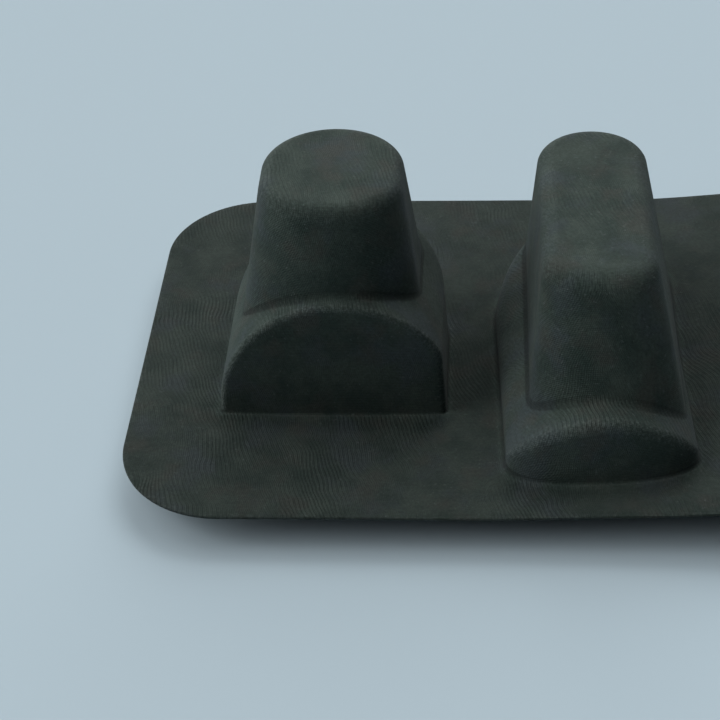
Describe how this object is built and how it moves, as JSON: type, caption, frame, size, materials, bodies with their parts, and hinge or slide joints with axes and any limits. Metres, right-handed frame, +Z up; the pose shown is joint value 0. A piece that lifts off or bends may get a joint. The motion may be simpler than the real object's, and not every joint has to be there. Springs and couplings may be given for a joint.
{
  "type": "packaging inner tray",
  "caption": "Thin moulded-fibre inner tray: a flange with round corners, bowed up a little at its right end, and hollow stepped pockets, lying open side down.",
  "frame": {"origin": "middle of the flange's underside, at the height of the surface that the tray lies on", "axes": "+X along the tray, +Y from its front edge to its back edge, +Z up, the way the pockets stand"},
  "size_m": [0.208, 0.15, 0.0615],
  "materials": {
    "moulded_fibre": "matte dyed moulded fibre with a fine wire-screen texture"
  },
  "bodies": {
    "root": {"inner_tray": "moulded_fibre"}
  },
  "joints": []
}
